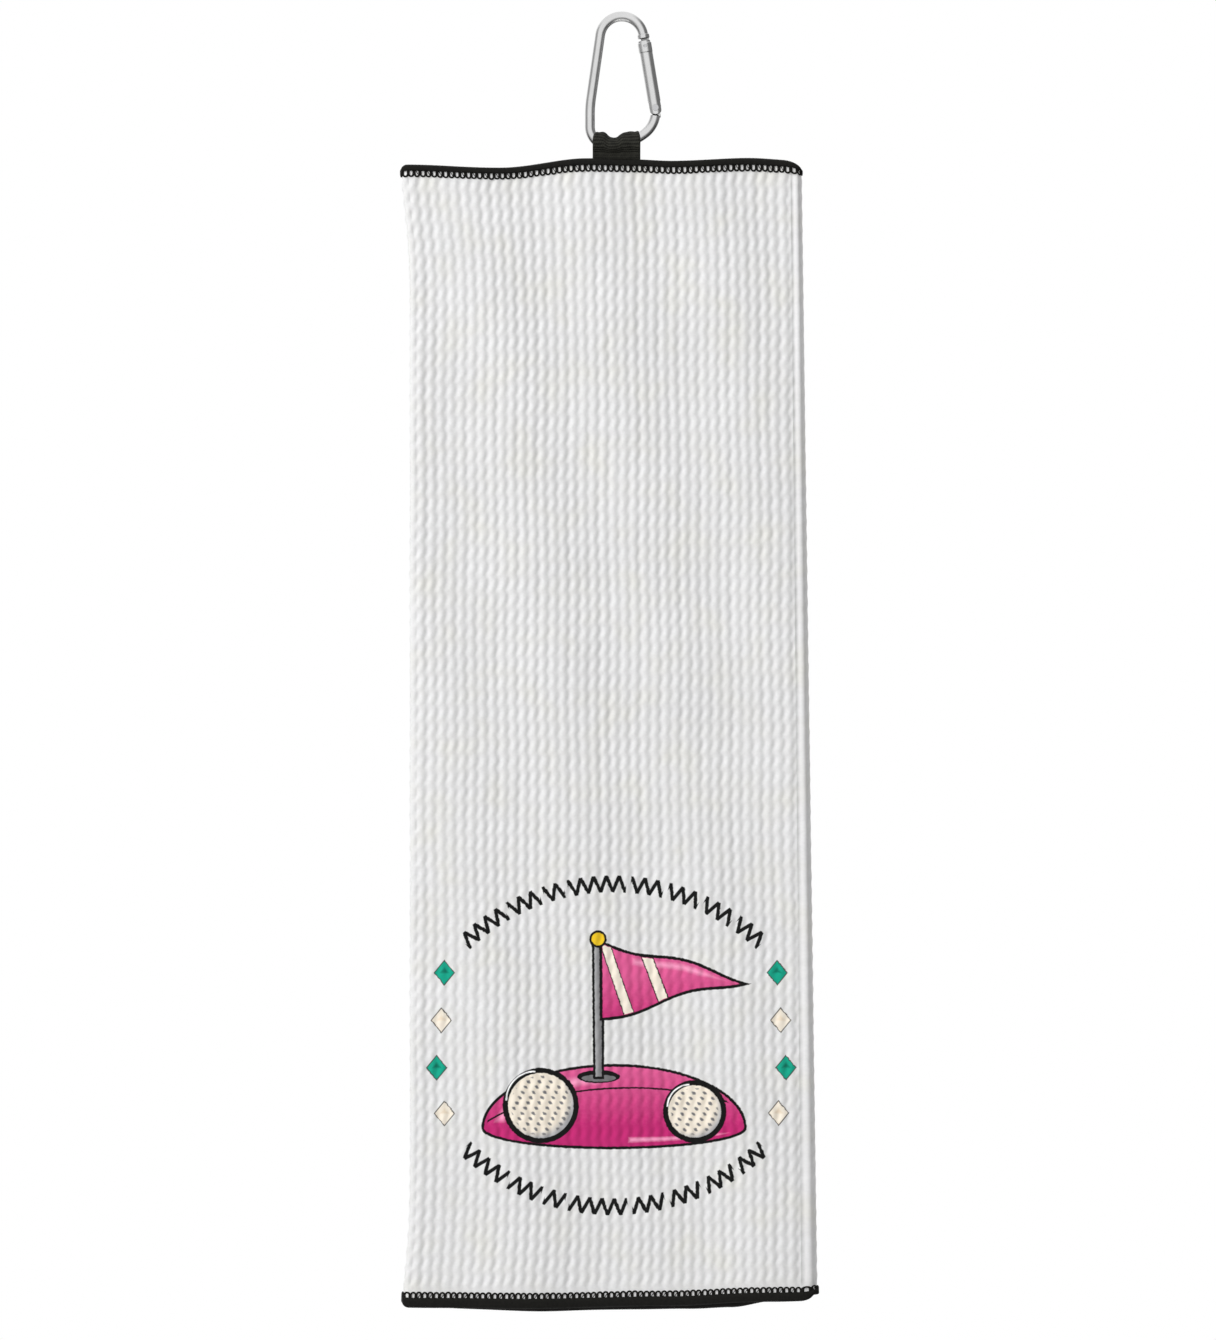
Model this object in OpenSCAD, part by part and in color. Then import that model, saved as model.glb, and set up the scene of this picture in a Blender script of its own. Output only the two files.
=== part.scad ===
// Golf towel folded in thirds, hanging from a spring-gate carabiner by a webbing loop.
// The frame: +X to the right of the front face, +Y backwards, +Z up.
// The origin is the inside of the carabiner's crown, where the ring that holds it bears.

/* [Towel] */
// Width of the towel folded in thirds
folded_w = 160; // [140:1:170]
// Height of the towel, edging included
towel_h = 457.2; // [300:0.1:600]
// How far the inner flap reaches from the left fold
inner_reach = 145.5; // [120:0.5:150]
// How far the outer flap reaches from the right fold
outer_reach = 148; // [120:0.5:152]
// Thickness of the waffle cloth
cloth_t = 1.8; // [1:0.1:2]
// Left-right place of the folded towel's middle
towel_x = -5.4; // [-8:0.1:0]

/* [Edging] */
// Thickness of the overlocked thread edging over the cloth
edge_t = 2.8; // [2.2:0.1:2.8]
// How far the thread stands out past the cut edge of the cloth
edge_cap = 0.8; // [0.4:0.1:1]
// Height of the edging at the top
top_band = 4.2; // [3:0.1:6]
// Height of the edging at the bottom
bottom_band = 6.4; // [3:0.1:8]
// Width of the edging down the free sides
side_band = 5; // [3:0.1:8]

/* [Webbing loop] */
// Width of the webbing
webbing_w = 19; // [15:0.5:20]
// Thickness of one layer of webbing
webbing_t = 1.2; // [0.8:0.1:1.2]
// Left-right place of the webbing's middle
webbing_x = -2.1; // [-2.6:0.1:-1.8]
// Width of the webbing where it is bunched over the carabiner
bunched_w = 15; // [10:0.5:15]
// Inside radius of the loop around the carabiner
eye_r = 3.75; // [3.7:0.05:4]
// Length of the webbing ends caught behind the top edging
tail_len = 8; // [5:0.5:12]
// How far the loop may swing each way on the carabiner, in degrees
loop_swing = 50; // [20:5:50]
// How far the towel may bend each way at the foot of the loop, in degrees
towel_bend = 50; // [20:5:50]

/* [Carabiner] */
// Diameter of the body's rod
rod_d = 4; // [3.5:0.1:4]
// Radius of the crown, at the middle of the rod
crown_r = 8.7; // [8.5:0.1:9]
// Lean of the gate from upright, in degrees
gate_lean = 9.4; // [9:0.1:10]
// Lean of the spine from upright, in degrees
spine_lean = 8.2; // [8:0.1:9]
// Length of the straight part of the spine
spine_len = 25.5; // [25:0.1:26]
// Diameter of the nose, where the gate closes
nose_d = 4.8; // [4:0.1:5]

/* [Gate] */
// Outside diameter of the gate tube
gate_d = 5.2; // [4.8:0.1:5.4]
// Diameter of the gate's head
head_d = 5.7; // [5.2:0.1:6]
// Bore of the gate tube, for the spring and plunger
bore_d = 3.6; // [3.4:0.1:3.8]
// Distance from the gate's rivet to the end of the nose
gate_reach = 28.2; // [28:0.1:28.5]
// How far the gate opens, in degrees
gate_open = 30; // [10:1:30]
// Radius of the gate's rivet
rivet_r = 0.79; // [0.6:0.01:0.8]
// Diameter of the spring's wire
wire_d = 0.4; // [0.3:0.05:0.5]
// Number of turns in the spring
spring_turns = 8; // [5:1:9]

/* [Hidden] */
$fn = 64;

aluminium = [0.78, 0.79, 0.80];
steel = [0.60, 0.61, 0.63];
cloth = [0.93, 0.93, 0.93];
thread = [0.10, 0.10, 0.09];

// Carabiner outline: the middle line of the rod, a chain of tangent arcs and straights from the
// nose over the crown, down the spine and round the bottom to the gate's rivet
knee_r = 45;      // slight bend between the spine and the lower corner
lower_straight = 5;
corner_r = 7.5;
base_r = 24;      // long bottom curve that the webbing hangs on
base_turn = 36.5;
heel_r = 11;      // curve up to the rivet
shoulder = 3.1;   // the round rod stops this far short of the rivet
nose_straight = 1.5;
rod_r = rod_d / 2;
crown_z = rod_r - crown_r;
nose_x = crown_r * cos(gate_lean) + nose_straight * sin(gate_lean);
nose_z = crown_z + crown_r * sin(gate_lean) - nose_straight * cos(gate_lean);
pivot_x = nose_x + gate_reach * sin(gate_lean);
pivot_z = nose_z - gate_reach * cos(gate_lean);
heel_turn = 90 - base_turn + gate_lean - (shoulder + 0.3) / heel_r * 180 / PI;
// each run is [length, 0] for a straight, or [radius, turn] for an arc
OUTLINE = [
    [nose_straight, 0], [crown_r, 180 - gate_lean - spine_lean], [spine_len, 0],
    [knee_r, spine_lean], [lower_straight, 0], [corner_r, 90], [base_r, base_turn],
    [heel_r, heel_turn]
];

// Gate, measured along its own axis up from the rivet
gate_top = gate_reach - 1;
head_low = 22.6;
head_ring = 0.9;
bore_top = 17;
gate_end_r = 2.7;
cheek_gap = 2;      // slot for the body's tongue
slot_top = 2.6;
tongue_t = 1.8;
tongue_w = 3.2;
tongue_top = 1.5;
rivet_clear = 0.06;
rivet_head_r = 1.25;
rivet_head_t = 0.3;
hook_t = 1.6;       // latch: a hook under the nose, and a pin across the gate's head
hook_low = 23.2;
hook_in = 1.3;
hook_out = 2;
latch_v = 25;
latch_r = 0.6;
latch_fit = 0.1;
latch_slot = 2;
plunger_r = 1.6;
plunger_len = 3;
plunger_gap = 0.03;
spring_low = tongue_top + plunger_gap + plunger_len + 0.05;
spring_r = 1.3;

// Loop and towel
swing_z = -48.2;    // axis of the loop's swing on the carabiner
bend_z = -55.4;     // axis of the towel's bend at the foot of the loop
stem_top = -52.4;
tails_drop = 1.5;
crease_r = 0.05;    // inside of the loop where its two layers meet
towel_top = bend_z - webbing_t;
towel_low = towel_top - towel_h;
front_y = -2.1;     // middle of each layer of cloth
inner_y = 2.7;
outer_y = 5.9;
left_x = towel_x - folded_w / 2;
right_x = towel_x + folded_w / 2;
left_r = (inner_y - front_y) / 2;
right_r = (outer_y - front_y) / 2;
left_fold_x = left_x + left_r + cloth_t / 2;
right_fold_x = right_x - right_r - cloth_t / 2;
inner_end = left_x + inner_reach;
outer_end = right_x - outer_reach;

// ---------- carabiner ----------

// where a run of the outline ends, and its heading there
function step(at, run) =
    run[1] == 0
        ? [at[0] + run[0] * cos(at[2]), at[1] + run[0] * sin(at[2]), at[2]]
        : [at[0] + run[0] * (sin(at[2] + run[1]) - sin(at[2])),
           at[1] + run[0] * (cos(at[2]) - cos(at[2] + run[1])), at[2] + run[1]];
function place(i) = i == 0 ? [nose_x, nose_z, 90 + gate_lean] : step(place(i - 1), OUTLINE[i - 1]);

// one run of rod, drawn in the X-Z plane from its start and heading
module rod_run(at, run) {
    translate([at[0], 0, at[1]])
        rotate([90, 0, 0])
            rotate([0, 0, at[2]])
                if (run[1] == 0)
                    rotate([0, 90, 0]) cylinder(r = rod_r, h = run[0]);
                else
                    translate([0, run[0], 0])
                        rotate([0, 0, -90])
                            rotate_extrude(angle = run[1], $fn = 128)
                                translate([run[0], 0]) circle(r = rod_r, $fn = 48);
}

// the gate's own axes: Z along the gate, up from the rivet, and X outwards
module on_gate() {
    translate([pivot_x, 0, pivot_z]) rotate([0, -gate_lean, 0]) children();
}

module across_gate(r, w) {
    rotate([90, 0, 0]) cylinder(r = r, h = w, center = true);
}

module slab(u_low, u_high, t, v_low, v_high) {
    translate([u_low, -t / 2, v_low]) cube([u_high - u_low, t, v_high - v_low]);
}

module latch_hook() {
    difference() {
        slab(-hook_in, hook_out, hook_t, hook_low, gate_reach + 0.5);
        translate([0, 0, latch_v]) across_gate(latch_r + latch_fit, 2 * hook_t);
        slab(-hook_in - 1, 0, 2 * hook_t, latch_v - latch_r - latch_fit, latch_v + latch_r + latch_fit);
    }
}

module carabiner_body() {
    color(aluminium) difference() {
        union() {
            for (i = [0 : len(OUTLINE) - 1]) rod_run(place(i), OUTLINE[i]);
            on_gate() {
                translate([0, 0, gate_reach]) cylinder(d = nose_d, h = nose_straight);
                latch_hook();
                slab(-tongue_w / 2, tongue_w / 2, tongue_t, -shoulder - 1, tongue_top);
            }
        }
        on_gate() across_gate(0.8, 2 * tongue_t);
    }
}

module pivot_rivet() {
    head_y = gate_d / 2 + 0.05;
    color(steel) on_gate() {
        across_gate(rivet_r, 2 * (head_y + rivet_head_t));
        for (side = [-1, 1])
            translate([0, side * (head_y + rivet_head_t / 2), 0]) across_gate(rivet_head_r, rivet_head_t);
    }
}

// ---------- gate ----------

module gate_tube() {
    color(aluminium) on_gate() difference() {
        union() {
            cylinder(d = gate_d, h = gate_top - head_ring);
            translate([0, 0, head_low]) cylinder(d = head_d, h = gate_top - head_ring - head_low);
            translate([0, 0, head_low]) cylinder(d = gate_d, h = gate_top - head_low);
            intersection() {
                across_gate(gate_end_r, gate_d);
                translate([0, 0, -gate_end_r]) cylinder(d = gate_d, h = 2 * gate_end_r);
            }
        }
        translate([0, 0, -gate_end_r - 1]) cylinder(d = bore_d, h = bore_top + gate_end_r + 1);
        slab(-gate_d, gate_d, cheek_gap, -gate_end_r - 1, slot_top);
        across_gate(rivet_r + rivet_clear, 2 * gate_d);
        slab(-hook_in - 0.2, head_d, latch_slot, hook_low - 0.5, gate_top + 1);
        translate([0, 0, latch_v]) across_gate(latch_r, 2 * head_d);
    }
}

module latch_pin() {
    color(steel) on_gate() translate([0, 0, latch_v]) across_gate(latch_r - 0.01, head_d - 0.2);
}

// points round the wire at one place along the helix
SPRING_STEPS = 16;
SPRING_SIDES = 5;
function coil_ring(i) = let (
    n = spring_turns * SPRING_STEPS,
    a = 360 * i / SPRING_STEPS,
    v = spring_low + wire_d / 2 + (bore_top - spring_low - wire_d - 0.05) * i / n
) [for (k = [0 : SPRING_SIDES - 1]) let (b = 360 * k / SPRING_SIDES, r = spring_r + wire_d / 2 * cos(b))
    [r * cos(a), r * sin(a), v + wire_d / 2 * sin(b)]];

module gate_spring() {
    n = spring_turns * SPRING_STEPS;
    s = SPRING_SIDES;
    points = [for (i = [0 : n]) each coil_ring(i)];
    walls = [for (i = [0 : n - 1]) for (k = [0 : s - 1]) let (j = (k + 1) % s) each [
        [i * s + k, (i + 1) * s + k, i * s + j],
        [i * s + j, (i + 1) * s + k, (i + 1) * s + j]
    ]];
    ends = [[for (k = [0 : s - 1]) k], [for (k = [s - 1 : -1 : 0]) n * s + k]];
    color(steel) on_gate() polyhedron(points = points, faces = concat(walls, ends));
}

module gate_plunger() {
    color(steel) on_gate()
        translate([0, 0, tongue_top + plunger_gap]) cylinder(r = plunger_r, h = plunger_len);
}

// ---------- webbing ----------

// outline of the loop seen along X: a round eye drawn down to the two layers lying together
module teardrop(big_r, small_r, drop) {
    lean = asin((big_r - small_r) / drop);
    circle(r = big_r);
    translate([0, -drop]) circle(r = small_r);
    polygon([
        [big_r * cos(lean), -big_r * sin(lean)],
        [small_r * cos(lean), -drop - small_r * sin(lean)],
        [-small_r * cos(lean), -drop - small_r * sin(lean)],
        [-big_r * cos(lean), -big_r * sin(lean)]
    ]);
}

// a shape drawn in Y and Z, run along X
module along_x(x_low, x_high) {
    translate([x_low, 0, 0]) rotate([90, 0, 90]) linear_extrude(x_high - x_low) children();
}

module webbing_loop() {
    drop = swing_z - stem_top;
    color(thread) union() {
        along_x(webbing_x - bunched_w / 2, webbing_x + bunched_w / 2)
            translate([0, swing_z]) difference() {
                teardrop(eye_r + webbing_t, webbing_t, drop);
                teardrop(eye_r, crease_r, drop);
            }
        along_x(webbing_x - webbing_w / 2, webbing_x + webbing_w / 2) {
            translate([-webbing_t, bend_z]) square([2 * webbing_t, stem_top - bend_z]);
            translate([0, bend_z]) circle(r = webbing_t);
        }
    }
}

module tails_block() {
    along_x(webbing_x - webbing_w / 2, webbing_x + webbing_w / 2)
        translate([-webbing_t, bend_z - tails_drop - tail_len]) square([2 * webbing_t, tail_len]);
}

module webbing_tails() {
    color(thread) tails_block();
}

// ---------- cloth and edging ----------

// a flat layer of cloth between two places along X
module cloth_layer(x_low, x_high, y) {
    color(cloth)
        translate([x_low, y - cloth_t / 2, towel_low + edge_cap])
            cube([x_high - x_low, cloth_t, towel_h - 2 * edge_cap]);
}

// half a turn about an upright axis, on the right for side 1 or on the left for side -1
module half_turn(x, y, side) {
    translate([x, y, 0]) rotate([0, 0, -90 * side]) rotate_extrude(angle = 180) children();
}

module cloth_fold(x, y, r, side) {
    color(cloth) half_turn(x, y, side)
        translate([r - cloth_t / 2, towel_low + edge_cap]) square([cloth_t, towel_h - 2 * edge_cap]);
}

// section of the edging over a cloth edge that points up at the origin
module edging_section(band) {
    difference() {
        translate([-edge_t / 2, -band]) square([edge_t, band]);
        translate([-cloth_t / 2, -band - 1]) square([cloth_t, band + 1 - edge_cap]);
    }
}

module top_edging(x_low, x_high, y) {
    color(thread) along_x(x_low, x_high) translate([y, towel_top]) edging_section(top_band);
}

module bottom_edging(x_low, x_high, y) {
    color(thread) along_x(x_low, x_high)
        translate([y, towel_low]) mirror([0, 1]) edging_section(bottom_band);
}

module fold_top_edging(x, y, r, side) {
    color(thread) half_turn(x, y, side) translate([r, towel_top]) edging_section(top_band);
}

module fold_bottom_edging(x, y, r, side) {
    color(thread) half_turn(x, y, side)
        translate([r, towel_low]) mirror([0, 1]) edging_section(bottom_band);
}

// edging down a free side; the cloth's edge faces right for side 1 or left for side -1
module side_edging(x, y, side) {
    color(thread)
        translate([x, y, towel_low + bottom_band])
            linear_extrude(towel_h - bottom_band - top_band)
                rotate([0, 0, -90 * side]) edging_section(side_band);
}

left_mid_y = (front_y + inner_y) / 2;
right_mid_y = (front_y + outer_y) / 2;

module front_panel() { cloth_layer(left_fold_x, right_fold_x, front_y); }
module left_fold() { cloth_fold(left_fold_x, left_mid_y, left_r, -1); }
module inner_flap() { cloth_layer(left_fold_x, inner_end - edge_cap, inner_y); }
module right_fold() { cloth_fold(right_fold_x, right_mid_y, right_r, 1); }
module outer_flap() { cloth_layer(outer_end + edge_cap, right_fold_x, outer_y); }

module front_top_edging() {
    difference() {
        top_edging(left_fold_x, right_fold_x, front_y);
        tails_block();
    }
}
module front_bottom_edging() { bottom_edging(left_fold_x, right_fold_x, front_y); }
module left_fold_top_edging() { fold_top_edging(left_fold_x, left_mid_y, left_r, -1); }
module left_fold_bottom_edging() { fold_bottom_edging(left_fold_x, left_mid_y, left_r, -1); }
module right_fold_top_edging() { fold_top_edging(right_fold_x, right_mid_y, right_r, 1); }
module right_fold_bottom_edging() { fold_bottom_edging(right_fold_x, right_mid_y, right_r, 1); }
module inner_top_edging() { top_edging(left_fold_x, inner_end, inner_y); }
module inner_bottom_edging() { bottom_edging(left_fold_x, inner_end, inner_y); }
module inner_side_edging() { side_edging(inner_end, inner_y, 1); }
module outer_top_edging() { top_edging(outer_end, right_fold_x, outer_y); }
module outer_bottom_edging() { bottom_edging(outer_end, right_fold_x, outer_y); }
module outer_side_edging() { side_edging(outer_end, outer_y, -1); }

carabiner_body();
pivot_rivet();
gate_tube();
latch_pin();
gate_spring();
gate_plunger();
webbing_loop();
webbing_tails();
front_panel();
left_fold();
inner_flap();
front_top_edging();
front_bottom_edging();
left_fold_top_edging();
left_fold_bottom_edging();
inner_top_edging();
inner_bottom_edging();
inner_side_edging();
right_fold();
right_fold_top_edging();
right_fold_bottom_edging();
outer_flap();
outer_top_edging();
outer_bottom_edging();
outer_side_edging();
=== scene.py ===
"""Looks of a golf towel that is folded in thirds and hangs from a spring-gate carabiner.

Lengths are in metres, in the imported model's frame: +X right, +Y away, +Z up.
"""

import math

import bmesh
import bpy
import numpy as np
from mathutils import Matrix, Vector


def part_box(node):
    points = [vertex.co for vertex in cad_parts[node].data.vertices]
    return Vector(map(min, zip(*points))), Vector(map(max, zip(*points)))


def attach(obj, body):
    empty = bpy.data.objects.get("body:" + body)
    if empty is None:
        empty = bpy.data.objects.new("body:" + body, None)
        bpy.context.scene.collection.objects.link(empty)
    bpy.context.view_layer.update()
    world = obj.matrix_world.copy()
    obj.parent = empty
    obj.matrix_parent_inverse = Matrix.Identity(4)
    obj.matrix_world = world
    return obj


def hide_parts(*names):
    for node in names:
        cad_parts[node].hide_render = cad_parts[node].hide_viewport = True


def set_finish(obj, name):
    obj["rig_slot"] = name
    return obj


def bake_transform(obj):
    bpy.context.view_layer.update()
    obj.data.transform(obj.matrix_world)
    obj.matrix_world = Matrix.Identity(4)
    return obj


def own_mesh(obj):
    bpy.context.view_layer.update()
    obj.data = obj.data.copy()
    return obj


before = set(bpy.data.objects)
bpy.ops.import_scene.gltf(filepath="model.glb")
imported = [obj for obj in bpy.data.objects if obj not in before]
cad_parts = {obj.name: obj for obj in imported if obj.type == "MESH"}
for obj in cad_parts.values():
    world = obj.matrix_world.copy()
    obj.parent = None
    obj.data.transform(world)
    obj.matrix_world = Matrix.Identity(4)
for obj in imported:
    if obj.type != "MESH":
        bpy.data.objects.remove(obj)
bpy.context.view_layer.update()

MM = 0.001
TURN = 2 * math.pi
random = np.random.default_rng(7)

# ---------- places, from the CAD nodes ----------

front_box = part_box("front_panel")
LEFT_X, RIGHT_X = front_box[0].x, front_box[1].x  # the folds' axes
TOWEL_LEFT, TOWEL_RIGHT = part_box("left_fold")[0].x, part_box("right_fold")[1].x
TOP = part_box("front_top_edging")[1].z
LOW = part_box("front_bottom_edging")[0].z
HEIGHT = TOP - LOW


def middle_y(node):
    low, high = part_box(node)
    return (low.y + high.y) / 2


FRONT_Y, INNER_Y, OUTER_Y = (middle_y(n) for n in ("front_panel", "inner_flap", "outer_flap"))
LEFT_R = (INNER_Y - FRONT_Y) / 2
RIGHT_R = (OUTER_Y - FRONT_Y) / 2
FRONT_W = RIGHT_X - LEFT_X

# flat places across the unfolded cloth, counted from the left fold's axis
LEFT_S = -math.pi * LEFT_R
RIGHT_S = FRONT_W + math.pi * RIGHT_R
INNER_S = LEFT_S - (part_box("inner_side_edging")[1].x - LEFT_X)
OUTER_S = RIGHT_S + (RIGHT_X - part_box("outer_side_edging")[0].x)
EDGE_CAP = 0.8 * MM  # the thread stands this far past the cut edge of the cloth


# ---------- how the folded cloth hangs ----------


def bell(x, width):
    return np.exp(-((x / width) ** 2))


def ease(x):
    x = np.clip(x, 0, 1)
    return x * x * (3 - 2 * x)


def through(points, x):
    """A smooth curve that is level at each of its points."""
    places = [p[0] for p in points]
    heights = [p[1] for p in points]
    i = np.clip(np.searchsorted(places, x) - 1, 0, len(points) - 2)
    low, high = np.take(places, i), np.take(places, i + 1)
    part = ease((x - low) / (high - low))
    return np.take(heights, i) * (1 - part) + np.take(heights, i + 1) * part


# how far the edges rise, in millimetres, against the share of the way across
TOP_WAVE = [(0, -0.7), (0.25, -2.0), (0.46, 1.7), (0.58, 1.4), (0.68, 0.7), (0.86, 1.9), (1, 0.8)]
FRONT_LOW_WAVE = [(0, -0.5), (0.34, -0.9), (0.64, 0.1), (0.9, 2.0), (1, 2.2)]
INNER_LOW_WAVE = [(0, -0.6), (0.35, -2.3), (0.58, -1.6), (0.7, -1.4), (0.8, -0.7), (0.91, 2.0)]
WAVE_FADE = 30 * MM
CORNER_FADE = 3.8 * MM


def corner(x, edge, reach, drop):
    """How far a rounded corner lies inside a square one; reach is negative at a left edge."""
    k = np.clip(1 - (edge - x) / reach, 0, 0.97)
    return drop * (1 - np.sqrt(1 - k * k))


def drape(x, y, z, inner):
    """Moves points of the neatly folded cloth to where they hang; inner is 1 on the inner flap."""
    across = (x - TOWEL_LEFT) / (TOWEL_RIGHT - TOWEL_LEFT)
    from_top, from_low = TOP - z, z - LOW
    down = from_top / HEIGHT
    left = 0.1 - 3.3 * bell(down, 0.06) - 2.8 * bell(1 - down, 0.055)
    right = -2.3 + 4.5 * down
    low_wave = through(FRONT_LOW_WAVE, across) * (1 - inner) + through(INNER_LOW_WAVE, across) * inner
    top_rise = through(TOP_WAVE, across) * MM * np.exp(-from_top / WAVE_FADE)
    low_rise = low_wave * MM * np.exp(-from_low / WAVE_FADE)
    top_corner = corner(x, TOWEL_RIGHT, 8 * MM, 4.8 * MM) + corner(x, TOWEL_LEFT, -3 * MM, 2.4 * MM)
    low_corner = corner(x, TOWEL_RIGHT, 5.5 * MM, 3.2 * MM) + corner(x, TOWEL_LEFT, -3 * MM, 2.4 * MM)
    rise = top_rise + low_rise - top_corner * np.exp(-from_top / CORNER_FADE)
    rise = rise + low_corner * np.exp(-from_low / CORNER_FADE)
    wide_wave = 0.8 * np.sin(TURN * (x / 0.11 + 0.2 * down)) * down
    narrow_wave = 0.45 * np.sin(TURN * (x / 0.047 - 1.5 * down))
    lean = (1 - across) * left + across * right
    return np.stack([x + MM * lean, y + MM * (wide_wave + narrow_wave), z + rise], -1)


SQUARE = 0.04  # the right fold is this far from round towards square
LOOSER = 0.4  # the right fold bulges out by this share more at the towel's low edge than at its top


def place(s, z, d):
    """Points of the folded towel: s across the flat cloth, z up, d out on the printed side."""
    s, z, d = np.broadcast_arrays(*(np.asarray(v, float) for v in (s, z, d)))
    left = np.clip(-s / LEFT_R, 0, math.pi)
    right = np.clip((s - FRONT_W) / RIGHT_R, 0, math.pi)
    past_left = np.clip(LEFT_S - s, 0, None)
    past_right = np.clip(s - RIGHT_S, 0, None)
    x = LEFT_X + np.clip(s, 0, FRONT_W) + past_left - past_right
    right_out = (np.sin(right) + SQUARE * np.sin(3 * right)) / (1 - SQUARE)
    right_back = 1 - (np.cos(right) - SQUARE * np.cos(3 * right)) / (1 - SQUARE)
    bulge = 1 + LOOSER * (TOP - z) / HEIGHT
    x = x - (LEFT_R + d) * np.sin(left) + (RIGHT_R + d) * right_out * bulge
    y = FRONT_Y - d + (LEFT_R + d) * (1 - np.cos(left)) + (RIGHT_R + d) * right_back
    return drape(x, y, z, ease(past_left / (20 * MM)))


# ---------- meshes ----------


class Quads:
    """Four-cornered faces gathered into one mesh, each corner with a flat place for its texture."""

    def __init__(self):
        self.points, self.faces, self.flat, self.count = [], [], [], 0

    def grid(self, points, flat=None, around=False):
        """A sheet of rows by columns of points, or a tube of rings if it goes around."""
        rows, columns = points.shape[:2]
        index = self.count + np.arange(rows * columns).reshape(rows, columns)
        left = index if around else index[:, :-1]
        right = np.roll(index, -1, axis=1) if around else index[:, 1:]
        self.faces.append(np.stack([left[:-1], right[:-1], right[1:], left[1:]], -1).reshape(-1, 4))
        self.points.append(points.reshape(-1, 3))
        self.flat.append((points[..., [0, 2]] if flat is None else flat).reshape(-1, 2))
        self.count += rows * columns

    def make(self, name, material, slot, outward=True):
        points, faces = np.concatenate(self.points), np.concatenate(self.faces)
        mesh = bpy.data.meshes.new(name)
        mesh.vertices.add(len(points))
        mesh.vertices.foreach_set("co", points.astype(np.float32).ravel())
        mesh.loops.add(faces.size)
        mesh.loops.foreach_set("vertex_index", faces.astype(np.int32).ravel())
        mesh.polygons.add(len(faces))
        mesh.polygons.foreach_set("loop_start", np.arange(0, faces.size, 4, dtype=np.int32))
        mesh.polygons.foreach_set("use_smooth", np.ones(len(faces), bool))
        layer = mesh.uv_layers.new(name="flat_place")
        flat = np.concatenate(self.flat)[faces.ravel()] / MM
        layer.data.foreach_set("uv", flat.astype(np.float32).ravel())
        mesh.update(calc_edges=True)
        mesh.validate()
        if outward:
            work = bmesh.new()
            work.from_mesh(mesh)
            bmesh.ops.recalc_face_normals(work, faces=work.faces)
            work.to_mesh(mesh)
            work.free()
        mesh.materials.append(material)
        piece = bpy.data.objects.new(name, mesh)
        bpy.context.scene.collection.objects.link(piece)
        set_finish(piece, slot)
        return piece


def srgb(*levels):
    """A colour given by its 0 to 255 screen levels."""
    return (*((v / 255 / 12.92) if v < 10 else ((v / 255 + 0.055) / 1.055) ** 2.4 for v in levels), 1.0)


# ---------- materials ----------


class Wire:
    """A number in a material's node tree, which arithmetic builds on."""

    def __init__(self, tree, socket):
        self.tree, self.socket = tree, socket

    def op(self, operation, *others, clamp=False):
        node = self.tree.nodes.new("ShaderNodeMath")
        node.operation = operation
        node.use_clamp = clamp
        for socket, value in zip(node.inputs, (self, *others)):
            if isinstance(value, Wire):
                self.tree.links.new(value.socket, socket)
            else:
                socket.default_value = value
        return Wire(self.tree, node.outputs[0])

    def __add__(self, other):
        return self.op("ADD", other)

    def __sub__(self, other):
        return self.op("SUBTRACT", other)

    def __mul__(self, other):
        return self.op("MULTIPLY", other)

    def __truediv__(self, other):
        return self.op("DIVIDE", other)

    def __abs__(self):
        return self.op("ABSOLUTE")

    def wave(self, length):
        return (self * (TURN / length)).op("SINE")

    def low(self, other):
        return self.op("MINIMUM", other)

    def high(self, other):
        return self.op("MAXIMUM", other)


class Look:
    """A Principled material that is built up from procedural nodes."""

    def __init__(self, name, **shader):
        self.material = bpy.data.materials.new(name)
        self.material.use_nodes = True
        self.tree = self.material.node_tree
        self.shader = self.tree.nodes["Principled BSDF"]
        for key, value in shader.items():
            self.shader.inputs[key.replace("_", " ").title().replace("Ior", "IOR")].default_value = value

    def flat_place(self):
        """The flat place across and up the cloth, in millimetres."""
        node = self.tree.nodes.new("ShaderNodeUVMap")
        node.uv_map = "flat_place"
        split = self.tree.nodes.new("ShaderNodeSeparateXYZ")
        self.tree.links.new(node.outputs[0], split.inputs[0])
        return node.outputs[0], Wire(self.tree, split.outputs[0]), Wire(self.tree, split.outputs[1])

    def object_place(self):
        """The place in the object's own frame, in metres."""
        return self.tree.nodes.new("ShaderNodeTexCoord").outputs["Object"]

    def noise(self, vector, scale, detail=2.0, stretch=None):
        if stretch:
            mapping = self.tree.nodes.new("ShaderNodeMapping")
            mapping.inputs["Scale"].default_value = stretch
            self.tree.links.new(vector, mapping.inputs["Vector"])
            vector = mapping.outputs[0]
        node = self.tree.nodes.new("ShaderNodeTexNoise")
        node.inputs["Scale"].default_value = scale
        node.inputs["Detail"].default_value = detail
        self.tree.links.new(vector, node.inputs["Vector"])
        return Wire(self.tree, node.outputs[0])

    def mix(self, share, low, high):
        node = self.tree.nodes.new("ShaderNodeMix")
        node.data_type = "RGBA"
        self.tree.links.new(share.socket, node.inputs[0])
        for socket, colour in ((node.inputs[6], low), (node.inputs[7], high)):
            if isinstance(colour, tuple):
                socket.default_value = colour
            else:
                self.tree.links.new(colour, socket)
        return node.outputs[2]

    def colour(self, socket):
        self.tree.links.new(socket, self.shader.inputs["Base Color"])

    def roughness(self, wire):
        self.tree.links.new(wire.socket, self.shader.inputs["Roughness"])

    def bump(self, wire, distance, strength=1.0):
        node = self.tree.nodes.new("ShaderNodeBump")
        node.inputs["Distance"].default_value = distance
        node.inputs["Strength"].default_value = strength
        self.tree.links.new(wire.socket, node.inputs["Height"])
        self.tree.links.new(node.outputs[0], self.shader.inputs["Normal"])


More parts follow.
